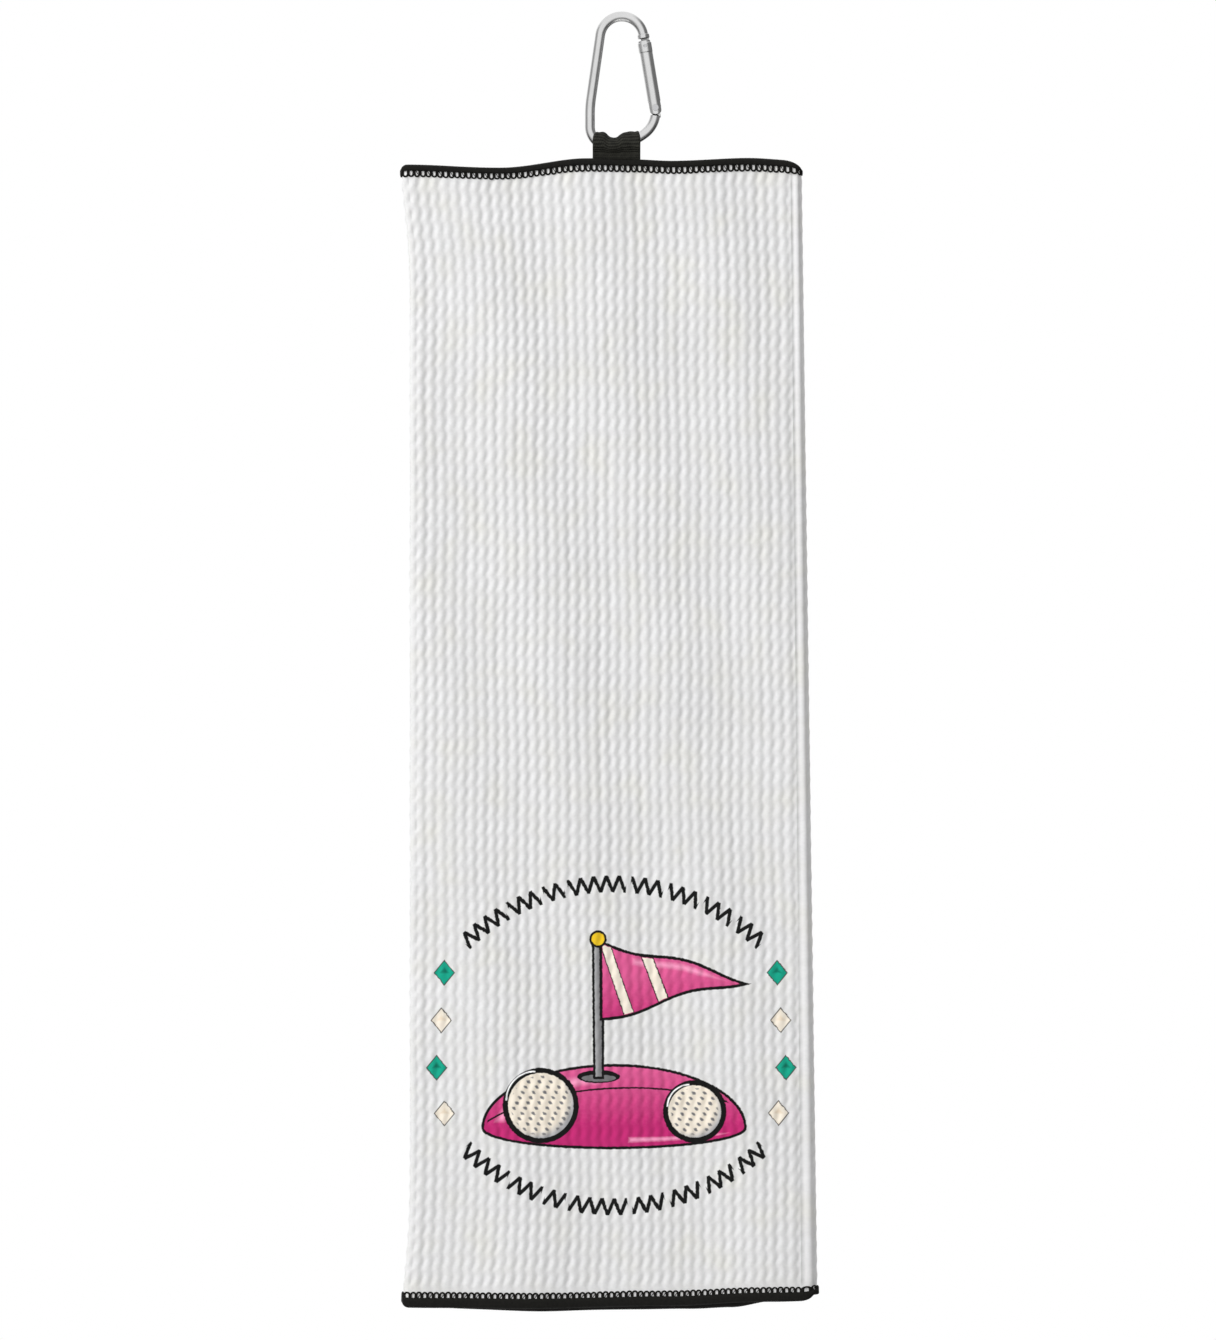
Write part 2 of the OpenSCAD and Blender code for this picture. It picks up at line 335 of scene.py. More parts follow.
def woven_cloth(name):
    """White brushed polyester: a fine yarn weave, faint lint and a little uneven whiteness."""
    look = Look(name, roughness=0.92, sheen_weight=0.15, sheen_roughness=0.5, specular_ior_level=0.15)
    vector, u, v = look.flat_place()
    yarns = u.wave(0.62) * v.wave(0.8)
    lint = look.noise(vector, 1.3, 4.0)
    look.bump(yarns * 0.5 + lint, 0.16 * MM, 0.8)
    patches = look.noise(vector, 0.035, 3.0)
    grain = look.noise(vector, 0.9, 2.0)
    share = (patches - 0.5) * 0.6 + grain * 0.9 + 0.05
    whiteness = look.mix(share, srgb(222, 222, 222), srgb(240, 240, 240))
    tint = (look.noise(vector, 0.06, 2.0) - 0.5) * 2.4 + 0.5
    tint = tint.op("ADD", 0.0, clamp=True)
    cool_to_warm = look.mix(tint, srgb(216, 214, 224), srgb(224, 222, 208))
    return look, look.mix(tint * 0.3, whiteness, cool_to_warm), vector, u, v


# ---------- the print ----------

PINK, DEEP_PINK, PALE_PINK = srgb(226, 96, 152), srgb(199, 45, 118), srgb(250, 160, 198)
CREAM, INK = srgb(248, 238, 222), srgb(18, 18, 18)
GREY, LIGHT_GREY = srgb(120, 120, 122), srgb(178, 178, 180)
TEAL, DARK_TEAL, YELLOW = srgb(22, 168, 140), srgb(10, 120, 100), srgb(240, 200, 40)
INK_EDGE = 0.22  # softness of an ink edge, in millimetres
PRINT_ACROSS = 78.2 * MM  # middle of the print from the left fold's axis
PRINT_UP = 104.4 * MM  # and from the towel's low edge


def round_shape(x, y, at, radii):
    """Signed distance from an ellipse, in millimetres: below zero inside."""
    a, b = (x - at[0]) / radii[0], (y - at[1]) / radii[1]
    c, d = a / radii[0], b / radii[1]
    size = (a * a + b * b).op("SQRT")
    return size * (size - 1) / ((c * c + d * d).op("SQRT") + 1e-5)


def half_plane(x, y, start, end):
    """Signed distance from the line through two points: below zero on its right side."""
    across, up = end[0] - start[0], end[1] - start[1]
    length = math.hypot(across, up)
    return (y - start[1]) * (across / length) - (x - start[0]) * (up / length)


def convex(x, y, *corners):
    """Signed distance from a shape with straight sides, whose corners go round clockwise."""
    sides = [half_plane(x, y, a, b) for a, b in zip(corners, corners[1:] + corners[:1])]
    shape = sides[0]
    for side in sides[1:]:
        shape = shape.high(side)
    return shape


class Print:
    """Inks laid over the cloth's colour one after another."""

    def __init__(self, look, base):
        self.look, self.base = look, base

    def fill(self, shape, colour, within=None, edge=INK_EDGE):
        if within is not None:
            shape = shape.high(within)
        cover = (shape * (-1 / edge) + 0.5).op("ADD", 0.0, clamp=True)
        self.base = self.look.mix(cover, self.base, colour)

    def line(self, shape, width, colour=INK, within=None):
        self.fill(abs(shape) - width / 2, colour, within)


def printed_picture(look, base, vector, u, v):
    """A flag on a mound with two balls, between two zigzag borders and columns of diamonds."""
    wobble = look.noise(vector, 0.8, 2.0) - 0.5
    middle_v = (LOW + PRINT_UP) / MM
    x = u - PRINT_ACROSS / MM + wobble * 0.7
    y = v - middle_v + wobble * 0.7
    ink = Print(look, base)

    # mound, darker to the foot, with a pale streak along its back
    back = round_shape(x, y, (0, -33), (52, 25))
    foot = round_shape(x, y, (0, -33), (52, 8))
    mound = back.high(y * -1 - 33).low(foot)
    shade = (y * -0.045 - 0.45 + wobble * 0.5).op("ADD", 0.0, clamp=True)
    ink.fill(mound, look.mix(shade, PINK, DEEP_PINK))
    streak = round_shape(x, y, (-1, -34), (45, 20.5))
    ink.fill(abs(streak) - 1.3, PALE_PINK, within=(x + 6).high(y * -1 - 30), edge=2.2)
    ink.fill(abs(foot + 3.2) - 0.8, PALE_PINK, within=(y + 35.5).high(x * -1 + 6), edge=1.2)
    ink.line(mound, 1.1)
    ink.line(round_shape(x, y, (6, -50), (70, 33)), 0.7, within=mound + 1.5)

    # hole and pole
    ink.fill(round_shape(x, y, (-6, -12.5), (8.5, 2.6)), INK)
    ink.fill(round_shape(x, y, (-6, -13.1), (6.8, 1.4)), GREY)
    pole = convex(x, y, (-8, 41), (-4, 41), (-4.3, -13), (-7.7, -13))
    ink.fill(pole, look.mix((x * 0.35 + 2.6).op("ADD", 0.0, clamp=True), LIGHT_GREY, GREY))
    ink.line(pole, 1.0)

    # pennant with two cream stripes, its edges waving
    flag_y = y + (x + 5).wave(46) * 1.5
    flag = convex(x, flag_y, (-4.5, 41), (51, 26), (-4.5, 11)) - 0.4
    flag_shade = (flag_y * -0.05 + 1.45 + wobble * 0.5).op("ADD", 0.0, clamp=True)
    ink.fill(flag, look.mix(flag_shade, PINK, DEEP_PINK))
    ink.fill(abs(flag + 3) - 0.9, PALE_PINK, within=(flag_y * -1 + 27).high(x * -1 + 8), edge=1.6)
    for start in (2.0, 17.0):
        stripe = abs(x - start + (flag_y - 26) * 0.35) - 2.1
        ink.fill(stripe, CREAM, within=flag + 0.8)
        ink.line(stripe, 0.45, within=flag + 0.6)
    ink.line(flag, 1.2)
    ink.fill(round_shape(x, y, (-6, 42.5), (3, 3)), YELLOW)
    ink.line(round_shape(x, y, (-6, 42.5), (3, 3)), 0.9)

    # two balls with dimples, shaded to the lower right
    for at, size in (((-29, -24), 14.0), ((32, -26.5), 11.5)):
        ball = round_shape(x, y, at, (size, size))
        lit = round_shape(x, y, (at[0] - 0.16 * size, at[1] + 0.16 * size), (size, size))
        ink.fill(ball, look.mix((lit * 0.35 + 0.6).op("ADD", 0.0, clamp=True), CREAM, LIGHT_GREY))
        dimples = (x - at[0] + y * 0.5).wave(4.4) * (y - at[1]).wave(4.2) * -1 + 0.55
        ink.fill(dimples, GREY, within=ball + 2.2, edge=0.5)
        ink.line(ball, 2.1)
        upper_left = (x - at[0] + 2).high(y * -1 + at[1] + 2)
        ink.line(lit + 2.6, 0.6, colour=srgb(252, 252, 252), within=upper_left)

    # diamonds down both sides
    side = abs(x + 1)
    for row, (out, up) in enumerate(((66.2, 29), (67.4, 10), (69.3, -9), (66.2, -27.2))):
        diamond = abs(side - out) / 4.0 + abs(y - up) / 4.9
        diamond = (diamond - 1) * 2.9
        colour = (TEAL, CREAM)[row % 2]
        ink.fill(diamond, colour)
        ink.fill(diamond + 1.7, (DARK_TEAL, srgb(236, 220, 196))[row % 2], within=y * -1 + up, edge=0.9)
        ink.line(diamond, 0.35, colour=srgb(60, 52, 48))

    # runs of zigzag, on an arc over the picture and one under it
    radius, centre, half_pitch, tall, stroke = 86.0, -21.5, 2.5, 6.2, 1.45
    up_y = abs(y) - centre
    out = (x * x + up_y * up_y).op("SQRT") - radius
    along = x.op("ARCTAN2", up_y) * radius
    zigzag = ((along + 40 * half_pitch).op("PINGPONG", half_pitch) / half_pitch - 0.5) * tall
    border = abs(out - zigzag) / math.hypot(1, tall / half_pitch) - stroke / 2
    border = border.high(abs(out) - tall / 2 - 0.3).high(abs(along) - 65.3)
    for gap in (-43.75, -28.75, -18.75, 6.25, 21.25, 36.25, 51.25):
        border = border.high(abs(along - gap) * -1 + 0.85)
    ink.fill(border, INK)
    return ink.base


def thread_look():
    look = Look("black_thread", roughness=0.6, specular_ior_level=0.14)
    vector = look.object_place()
    fuzz = look.noise(vector, 2600, 3.0)
    look.bump(fuzz, 0.08 * MM, 0.7)
    look.colour(look.mix(look.noise(vector, 900, 2.0), srgb(11, 11, 10), srgb(30, 29, 26)))
    return look.material


STRAP_RIB = 0.95 * MM  # one weft yarn of the webbing


def webbing_look():
    look = Look("black_webbing", roughness=0.65, specular_ior_level=0.2)
    vector, u, v = look.flat_place()
    twill = (u + v * 0.6).wave(0.9) * v.wave(0.75)
    ribs = v.wave(STRAP_RIB / MM)
    look.bump(twill + look.noise(vector, 2.2, 3.0) * 0.8, 0.1 * MM, 0.8)
    share = look.noise(vector, 0.5, 3.0) + twill * 0.1 + ribs * 0.3
    look.colour(look.mix(share, srgb(14, 14, 11), srgb(52, 52, 46)))
    return look.material


def metal_look(name, colour, roughness):
    """Drawn metal: fine lines, cloudy polish, a few faint scratches and painted shade that darkens its
    narrow hollows.
    """
    look = Look(name, metallic=1.0)
    vector = look.object_place()
    cloud = look.noise(vector, 220, 3.0)
    lines = look.noise(vector, 1500, 2.0, stretch=(3.0, 3.0, 0.4))
    look.roughness(cloud * 0.12 + lines * 0.1 + (roughness - 0.11))
    scuffs = look.noise(vector, 500, 6.0, stretch=(1.0, 1.0, 4.0))
    look.bump(lines * 0.4 + scuffs * 0.6, 0.006 * MM, 0.5)
    # painted shade: an ambient occlusion node blends the colour to dark grey in narrow hollows and gaps,
    # such as the gap at the nose
    crevice_shade = look.tree.nodes.new("ShaderNodeAmbientOcclusion")
    crevice_shade.inputs["Distance"].default_value = 1.3 * MM
    unshaded_metal = look.mix(cloud, tuple(0.84 * c for c in colour[:3]) + (1.0,), colour)
    unshaded_share = (Wire(look.tree, crevice_shade.outputs["AO"]) * 2.2 - 0.75).op("ADD", 0.0, clamp=True)
    look.colour(look.mix(unshaded_share, srgb(36, 35, 34), unshaded_metal))
    return look.material


plain_look, plain_base, *_ = woven_cloth("waffle_cloth")
plain_look.colour(plain_base)
printed_look, printed_base, *cloth_place = woven_cloth("printed_cloth")
printed_look.colour(printed_picture(printed_look, printed_base, *cloth_place))
CLOTH, PRINTED = plain_look.material, printed_look.material
THREAD = thread_look()
WEBBING = webbing_look()
ALUMINIUM = metal_look("drawn_aluminium", srgb(228, 228, 228), 0.22)
STEEL = metal_look("plated_steel", srgb(208, 208, 210), 0.28)

# ---------- waffle cloth ----------

EDGE_FACE = 0.4 * MM  # face of the cloth from its middle where it is pulled flat by the edging

COLUMN, ROW = 4.08 * MM, 6.45 * MM  # size of one pocket of the weave
SWAY = 0.52 * MM  # how far the valleys between columns sway from side to side
VALLEY = 0.85 * MM
CREST = 0.6 * MM
CREASE = 1.0 * MM  # depth of the crease where the front turns into the right fold
FLAT_TOP, FLAT_LOW, FLAT_SIDE = 3.6 * MM, 5 * MM, 3 * MM  # the edging pulls the weave flat this far in
COLUMNS = 400  # more than go across the cloth, so that every column has its own draw
column_phase = random.uniform(-0.35, 0.35, COLUMNS)
column_depth = random.uniform(0.82, 1.1, COLUMNS)


def relief(s, z):
    """How far the waffle weave stands out: upright swaying valleys, crossed by low walls."""
    column = np.floor(s / COLUMN + (COLUMNS // 2 + 0.5)).astype(int)
    row = TURN * z / ROW + column_phase[column]
    sway = np.sin(row) + 0.28 * np.cos(2 * row) + 0.12 * np.sin(z / (5.3 * MM) + 2.1 * column)
    swayed = s - SWAY * sway + 0.3 * MM * np.sin(TURN * z / 0.083 + s / 0.02)
    valley = (0.5 + 0.5 * np.cos(TURN * swayed / COLUMN)) ** 1.5
    depth = column_depth[column] * (0.7 + 0.3 * np.sin(row + 1.0))
    depth = depth + 0.1 * np.sin(z / (7.7 * MM) + 3.7 * column)
    lumps = 0.07 * np.sin(s / (0.47 * MM) + 2 * np.sin(z / (2.1 * MM)))
    lumps = lumps * np.sin(z / (0.71 * MM) + 0.4 * s / MM)
    on_fold = ease((s - FRONT_W + 0.5 * MM) / MM) * ease((RIGHT_S - s) / (2 * MM))
    height = CREST - VALLEY * valley * depth * (1 - 0.85 * on_fold) + MM * (lumps + 0.08 * np.cos(row))
    crease = CREASE * bell(s - FRONT_W - 0.7 * MM, 0.65 * MM)
    height = height - crease + 0.3 * MM * bell(s - FRONT_W - 2.1 * MM, 0.8 * MM)
    raised = ease((TOP - z - FLAT_TOP) / (3 * MM)) * ease((z - LOW - FLAT_LOW) / (3 * MM))
    raised = raised * ease((s - INNER_S - FLAT_SIDE) / (4 * MM))
    raised = raised * ease((OUTER_S - s - FLAT_SIDE) / (4 * MM))
    return height * raised + EDGE_FACE * (1 - raised)


CLOTH_ROWS = 427


def cloth_piece(name, start, end, columns, material):
    rows = np.linspace(TOP - EDGE_CAP, LOW + EDGE_CAP, CLOTH_ROWS)
    z, s = np.meshgrid(rows, np.linspace(start, end, columns), indexing="ij")
    mesh = Quads()
    mesh.grid(place(s, z, relief(s, z)), np.stack([s, z], -1))
    return mesh.make(name, material, "waffle_cloth", outward=False)


front_cloth = cloth_piece("front_cloth", 0, FRONT_W, 235, PRINTED)
inner_cloth = cloth_piece("inner_cloth", INNER_S + EDGE_CAP, 0, 220, CLOTH)
right_cloth = cloth_piece("right_fold_cloth", FRONT_W, RIGHT_S, 21, CLOTH)
outer_cloth = cloth_piece("outer_flap_cloth", RIGHT_S, OUTER_S - EDGE_CAP, 235, CLOTH)

# ---------- thread edging ----------

BAND_HALF = 1.25 * MM  # half the thickness of the solid band of thread
RIB = 0.5625 * MM  # one turn of thread over the edge
LOOP = 4 * RIB  # pitch of the loops of thread beside the band
LOOP_HALF = 0.88 * MM
THREAD_R = 0.37 * MM
THREAD_OUT = 0.12 * MM  # middle of a loop's thread from the face that it lies on
CROSS_R, CROSS_W = 0.17 * MM, 1.1 * MM  # the thin thread that crosses every other loop
BAND_STEP = RIB / 4
TOP_BAND, TOP_DROP = 2.5 * MM, 2.7 * MM
LOW_BAND, LOW_DROP = 3.9 * MM, 2.5 * MM
SIDE_BAND, SIDE_DROP = 2.6 * MM, 2.2 * MM


def band_section(band):
    """Half-round section of the band: how far in from the edge, and how far out from the cloth."""
    straight = [(band + 0.1 * MM, 0.2 * MM), (band, 0.8 * BAND_HALF)]
    straight += [(band - 0.4 * MM, BAND_HALF), (0.5 * (band + BAND_HALF), BAND_HALF)]
    turn = np.linspace(0, math.pi, 9)
    nose = [(BAND_HALF * (1 - math.sin(a)), BAND_HALF * math.cos(a)) for a in turn]
    mirrored = [(e, -d) for e, d in reversed(straight)]
    return np.array(straight + nose + mirrored)


def add_band(mesh, run, start, end, band, closed_ends, wider=0, turn=0):
    """The solid band of thread from start to end of a cut edge, ribbed where each turn goes over it.

    On a fold the loops lie close together, so there the band is wider and thinner, except near its ends.
    """
    steps = max(8, round((end - start) / BAND_STEP))
    along = np.linspace(start, end, steps + 1)[:, None]
    section = band_section(band)[None]
    slant = 0.2 * section[..., 1]
    rib = 0.055 * MM * np.cos(TURN * (along + slant) / RIB) + 0.05 * MM * np.sin(along / (5.3 * MM))
    out = np.sign(section[..., 1]) * np.clip(np.abs(section[..., 1]) / BAND_HALF, 0, 1)
    in_from_edge = section[..., 0] - rib * (1 - np.abs(out))
    depth = section[..., 1] + rib * out
    if closed_ends:
        near = np.minimum(along - start, end - along) / (1.2 * MM)
        shrink = np.sqrt(np.clip(1 - (1 - np.clip(near, 0, 1)) ** 2, 0.0004, 1))
        depth = depth * shrink
        in_from_edge = band / 2 + (in_from_edge - band / 2) * shrink
    if wider:
        bunched = ease((along - start - turn) / MM + 0.5) * ease((end - turn - along) / MM + 0.5)
        inward = np.clip((section[..., 0] - BAND_HALF) / (band - BAND_HALF), 0, 1)
        in_from_edge = in_from_edge + wider * bunched * inward
        depth = depth * (1 - 0.25 * bunched)
    flat = np.stack(np.broadcast_arrays(along, section[..., 0]), -1)
    mesh.grid(run(along, in_from_edge, 0.1 * MM + depth), flat)


def add_thread(mesh, run, path, radius, sides=6):
    """A thread along a path of flat places (along, in, out), as a closed tube of rings."""
    heading = np.gradient(path, axis=0)
    heading /= np.linalg.norm(heading, axis=1, keepdims=True)
    out = np.array([0.0, 0.0, 1.0])
    aside = np.cross(heading, out)
    turn = TURN * np.arange(sides) / sides
    rings = path[:, None] + radius * (
        np.cos(turn)[None, :, None] * aside[:, None] + np.sin(turn)[None, :, None] * out
    )
    mesh.grid(run(rings[..., 0], rings[..., 1], rings[..., 2]), rings[..., :2], around=True)


def add_loops(mesh, run, start, end, band, drop, face):
    """Loops of thread that hang from the band on one face of the cloth (1 printed, -1 plain)."""
    count = max(1, round((end - start) / LOOP))
    pitch = (end - start) / count
    bend = np.linspace(0, math.pi, 7)
    for i in range(count):
        shift, longer, lean = random.normal(0, 0.06, 3) * MM
        middle = start + (i + 0.5) * pitch + shift
        leg = drop - LOOP_HALF - THREAD_R + longer
        path = [(-LOOP_HALF, -0.5 * MM), (-LOOP_HALF, 0.4 * leg)]
        path += [(-LOOP_HALF * math.cos(a), leg + LOOP_HALF * math.sin(a)) for a in bend]
        path += [(LOOP_HALF, 0.4 * leg), (LOOP_HALF, -0.5 * MM)]
        out = EDGE_FACE + face * THREAD_OUT
        path = np.array([(middle + a + 0.2 * lean, band + e, out) for a, e in path])
        add_thread(mesh, run, path, THREAD_R)
        if i % 2:
            rise = np.linspace(-0.2 * MM, leg + 0.2 * MM, 4)
            cross = [
                (middle - CROSS_W / 2 + CROSS_W * t / 3, band + e, EDGE_FACE)
                for t, e in enumerate(rise)
            ]
            add_thread(mesh, run, np.array(cross), CROSS_R, 5)


def top_run(along, e, d):
    return place(along, TOP - e, d)


def low_run(along, e, d):
    return place(along, LOW + e, d)


def inner_side_run(along, e, d):
    return place(INNER_S + e, along, d)


def outer_side_run(along, e, d):
    return place(OUTER_S - e, along, d)


def edging_piece(name, run, start, end, band, drop, faces, closed_ends=False, turn=0):
    """The edging of one stretch; on a fold, turn is how far its loops reach round from each flat side."""
    mesh = Quads()
    add_band(mesh, run, start, end, band, closed_ends, drop - 0.6 * MM if turn else 0, turn)
    for face in faces:
        if turn:
            add_loops(mesh, run, start, start + turn, band, drop, face)
            add_loops(mesh, run, end - turn, end, band, drop, face)
        else:
            add_loops(mesh, run, start, end, band, drop, face)
    return mesh.make(name, THREAD, "edging_thread")


stretches = {
    "front": (0, FRONT_W, (1,), 0),
    "left_fold": (LEFT_S, 0, (1,), LOOP),
    "inner": (INNER_S, LEFT_S, (1,), 0),
    "right_fold": (FRONT_W, RIGHT_S, (1,), 2 * LOOP),
    "outer": (RIGHT_S, OUTER_S, (1, -1), 0),
}
edging = {}
levels = (("top", top_run, TOP_BAND, TOP_DROP), ("bottom", low_run, LOW_BAND, LOW_DROP))
for part, (start, end, faces, turn) in stretches.items():
    for level, run, band, drop in levels:
        name = f"{part}_{level}"
        edging[name] = edging_piece(f"{name}_thread", run, start, end, band, drop, faces, turn=turn)
side_ends = LOW + 0.3 * MM, TOP - 0.3 * MM
edging["inner_side"] = edging_piece(
    "inner_side_thread", inner_side_run, *side_ends, SIDE_BAND, SIDE_DROP, (1,), closed_ends=True
)
edging["outer_side"] = edging_piece(
    "outer_side_thread", outer_side_run, *side_ends, SIDE_BAND, SIDE_DROP, (1, -1), closed_ends=True
)

# ---------- webbing loop ----------

body_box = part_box("carabiner_body")
tails_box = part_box("webbing_tails")
ROD_R = 2 * MM
BAR_X = body_box[0].x + ROD_R + 7.5 * MM  # lowest place of the carabiner's bottom bar
BAR_Z = body_box[0].z + ROD_R
BAR_LEFT_R, BAR_RIGHT_R = 7.5 * MM, 24 * MM  # the bar's curve on each side of it
STRAP_HALF = 0.45 * MM
STRAP_GAP = 0.5 * MM  # middle of each layer from the middle of the two
STRAP_X = (tails_box[0].x + tails_box[1].x) / 2
STRAP_W = tails_box[1].x - tails_box[0].x + 0.1 * MM
STRAP_CUT = BAR_Z - 3.2 * MM  # where the upper piece meets the lower one
BEND_Z = TOP + 1.2 * MM
STRAP_COLUMNS = 60
PINCH_X, PINCH_HALF, PINCH_DEPTH = BAR_X + 2 * MM, 3.2 * MM, 2.3 * MM
BUNCHED_Z = BAR_Z + 5 * MM  # middle of the webbing where it stands up beside the pinch


def bar_middle(x):
    """Height of the middle of the carabiner's bottom bar."""
    radius = np.where(x < BAR_X, BAR_LEFT_R, BAR_RIGHT_R)
    return BAR_Z + radius - np.sqrt(np.clip(radius**2 - (x - BAR_X) ** 2, 1e-12, None))


def crest(x):
    """Height of the webbing where it goes over the bar: bunched up beside a pinch in its middle."""
    from_pinch = np.abs(x - PINCH_X) / PINCH_HALF
    loose = BUNCHED_Z - PINCH_DEPTH * np.exp(-(from_pinch**4))
    tight = bar_middle(x) + ROD_R + 0.5 * MM
    return (loose + tight + np.sqrt((loose - tight) ** 2 + (0.4 * MM) ** 2)) / 2


def strap_rings(middle, normal, across):
    """Rings round a layer of webbing, thicker at its two selvages and ribbed across."""
    centre_line = middle[:, middle.shape[1] // 2]
    steps = np.linalg.norm(np.diff(centre_line, axis=0), axis=1)
    length = np.concatenate([[0], np.cumsum(steps)])
    rib = 0.075 * MM * np.cos(TURN * length / STRAP_RIB)[:, None]
    selvage = 0.1 * MM * (bell(across - 0.03, 0.03) + bell(across - 0.97, 0.03))
    taper = np.sqrt(np.clip(1 - (2 * np.abs(across - 0.5)) ** 40, 0.02, 1))
    half = (STRAP_HALF + rib + selvage) * taper
    outer = middle + normal * half[..., None]
    inner = middle - normal * half[..., None]
    flat_u = np.broadcast_to(across * STRAP_W, middle.shape[:2])
    flat_v = np.broadcast_to(length[:, None], middle.shape[:2])
    flat = np.stack([flat_u, flat_v], -1)
    return np.concatenate([outer, inner[:, ::-1]], 1), np.concatenate([flat, flat[:, ::-1]], 1)


def surface_normal(points):
    along, across = np.gradient(points, axis=0), np.gradient(points, axis=1)
    normal = np.cross(along, across)
    return normal / np.linalg.norm(normal, axis=-1, keepdims=True)


def upper_strap():
    across = np.linspace(0, 1, STRAP_COLUMNS)[None]
    wide_x = STRAP_X - STRAP_W / 2 + STRAP_W * across
    crest_x = STRAP_X - STRAP_W / 2 + 1.1 * MM + (STRAP_W - 1.8 * MM) * across
    peak = crest(crest_x)
    reach = ROD_R + STRAP_HALF + 0.3 * MM
    shoulder = np.minimum(peak - 1.1 * reach, BAR_Z + 1.2 * MM)
    rise = np.linspace(0, 1, 44)[:, None]
    arch = np.linspace(0, math.pi, 46)[1:-1, None]
    side_z = STRAP_CUT + (shoulder - STRAP_CUT) * rise
    side_y = STRAP_GAP + (reach - STRAP_GAP) * ease(rise * 1.15)
    arch_z = shoulder + (peak - shoulder) * np.sin(arch)
    arch_y = -reach * np.cos(arch) * np.ones_like(peak)
    z = np.concatenate([side_z, arch_z, side_z[::-1]])
    y = np.concatenate([-side_y * np.ones_like(peak), arch_y, side_y[::-1] * np.ones_like(peak)])
    narrow = np.clip((z - shoulder) / (peak - shoulder), 0, 1) ** 2.5
    x = wide_x * (1 - narrow) + crest_x * narrow
    crumple = 0.18 * MM * np.sin(TURN * (x / (5.2 * MM) + z / (9 * MM))) * ease((z - STRAP_CUT) / (3 * MM))
    middle = np.stack([x, y, z], -1)
    middle += surface_normal(middle) * crumple[..., None]
    mesh = Quads()
    mesh.grid(*strap_rings(middle, surface_normal(middle), across), around=True)
    return mesh.make("webbing_arch", WEBBING, "webbing")


def lower_strap():
    across = np.linspace(0, 1, STRAP_COLUMNS)[None]
    z = np.linspace(STRAP_CUT, tails_box[0].z + 0.2 * MM, 64)[:, None]
    x = STRAP_X - STRAP_W / 2 + STRAP_W * across + 0 * z
    shift = 0.35 * MM * ease((BEND_Z + 1.5 * MM - z) / (2 * MM))
    mesh = Quads()
    for side in (-1, 1):
        y = side * STRAP_GAP + shift + 0 * x
        middle = np.stack([x, y, z + 0 * x], -1)
        normal = np.zeros_like(middle)
        normal[..., 1] = side
        mesh.grid(*strap_rings(middle, normal, across), around=True)
    return mesh.make("webbing_foot", WEBBING, "webbing")


webbing_arch = upper_strap()
webbing_foot = lower_strap()

# ---------- riding on the CAD bodies ----------

for part, node in (
    (front_cloth, "front_panel"),
    (inner_cloth, "inner_flap"),
    (edging["front_top"], "front_top_edging"),
    (edging["front_bottom"], "front_bottom_edging"),
    (edging["left_fold_top"], "left_fold_top_edging"),
    (edging["left_fold_bottom"], "left_fold_bottom_edging"),
    (edging["inner_top"], "inner_top_edging"),
    (edging["inner_bottom"], "inner_bottom_edging"),
    (edging["inner_side"], "inner_side_edging"),
):
    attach(part, "towel")
    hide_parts(node)
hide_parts("left_fold")
for part, node in (
    (outer_cloth, "outer_flap"),
    (edging["outer_top"], "outer_top_edging"),
    (edging["outer_bottom"], "outer_bottom_edging"),
    (edging["outer_side"], "outer_side_edging"),
):
    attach(part, "flap")
    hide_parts(node)
for part, node in (
    (right_cloth, "right_fold"),
    (edging["right_fold_top"], "right_fold_top_edging"),
    (edging["right_fold_bottom"], "right_fold_bottom_edging"),
):
    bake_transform(part)
    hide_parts(node)
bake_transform(webbing_arch)
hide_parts("webbing_loop")
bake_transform(webbing_foot)
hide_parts("webbing_tails")

-INNER_S
RIGHT_S - FRONT_W
OUTER_S - RIGHT_S

# ---------- carabiner ----------

# the middle line of the rod from its nose, over the crown, down the spine and round to the gate's foot:
# each run is (length, 0) for a straight one or (radius, turn) for a bend, as in the CAD
LEAN = math.radians(9.4)  # of the gate, from upright
CROWN_R, NOSE_LENGTH, NOSE_R = 8.7 * MM, 1.5 * MM, 2.4 * MM
ROD_RUNS = [
    (CROWN_R, math.pi - LEAN - math.radians(8.2)),
    (25.5 * MM, 0),
    (45 * MM, math.radians(8.2)),
    (5 * MM, 0),
    (BAR_LEFT_R, math.pi / 2),
    (BAR_RIGHT_R, math.radians(36.5)),
    (11 * MM, math.radians(45.2)),
]
GATE_REACH, GATE_R, HEAD_R = 28.2 * MM, 2.6 * MM, 2.85 * MM
HEAD_LOW, HEAD_HIGH = 22.8 * MM, 26.1 * MM
SPRING_TOP = 17 * MM
NEARLY_ROUND = 0.14 * MM  # a point this near to the surface of a round run belongs to it


